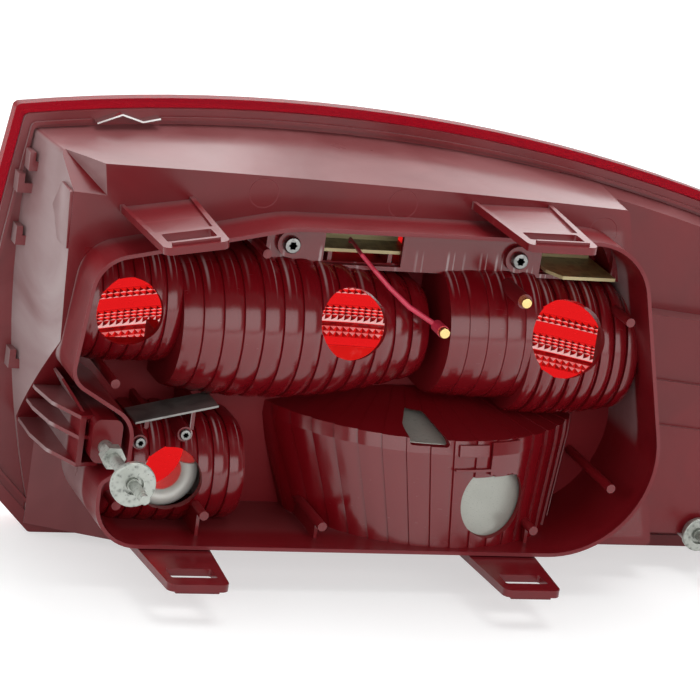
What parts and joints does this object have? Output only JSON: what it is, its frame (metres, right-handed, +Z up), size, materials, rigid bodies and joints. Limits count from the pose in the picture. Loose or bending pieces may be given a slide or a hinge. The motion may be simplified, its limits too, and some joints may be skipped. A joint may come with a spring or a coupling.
{
  "type": "tail light cluster",
  "caption": "Car tail light cluster seen from its bulb side: maroon moulded housing with fluted reflector chambers, carrier rim, latch tongues, LED boards, fixing studs and a domed red lens.",
  "frame": {"origin": "on the axis of the left fixing stud, where its hexagon collar seats", "axes": "+X to the right as seen from behind the lamp, +Y forward to the lens, +Z up"},
  "size_m": [0.4554, 0.195, 0.2166],
  "materials": {
    "housing_maroon": "satin moulded",
    "lens_red": "clear red, polished",
    "lens_clear": "clear, polished",
    "reflex_red": "prism strip",
    "seal_black": "matte",
    "guide_clear": "clear",
    "bright_metal": "vacuum metallised",
    "shield_steel": "rolled sheet",
    "screw_steel": "bright plated",
    "stud_zinc": "zinc plated, mottled",
    "contact_brass": "turned",
    "lead_red": "moulded sleeve",
    "board_olive": "resin board",
    "led_body": "moulded",
    "clip_steel": "spring strip"
  },
  "bodies": {
    "root": {"rear_housing": "housing_maroon", "outer_lens_red": "lens_red", "outer_lens_clear": "lens_clear", "lens_seal": "seal_black", "reflex_reflector": "reflex_red", "light_guide": "guide_clear", "fog_reflector": "bright_metal", "reverse_reflector": "bright_metal", "fog_heat_shield": "shield_steel", "chamber_screws": "screw_steel", "board_screws": "screw_steel", "contact_pin_left": "contact_brass", "contact_pin_right": "contact_brass", "contact_lead": "lead_red", "stud_left": "stud_zinc", "stud_right": "stud_zinc", "washer_left": "stud_zinc", "washer_right": "stud_zinc", "edge_clip": "clip_steel", "led_board_left": "board_olive", "led_board_right": "board_olive", "led_row_left": "led_body", "led_row_right": "led_body"}
  },
  "joints": []
}
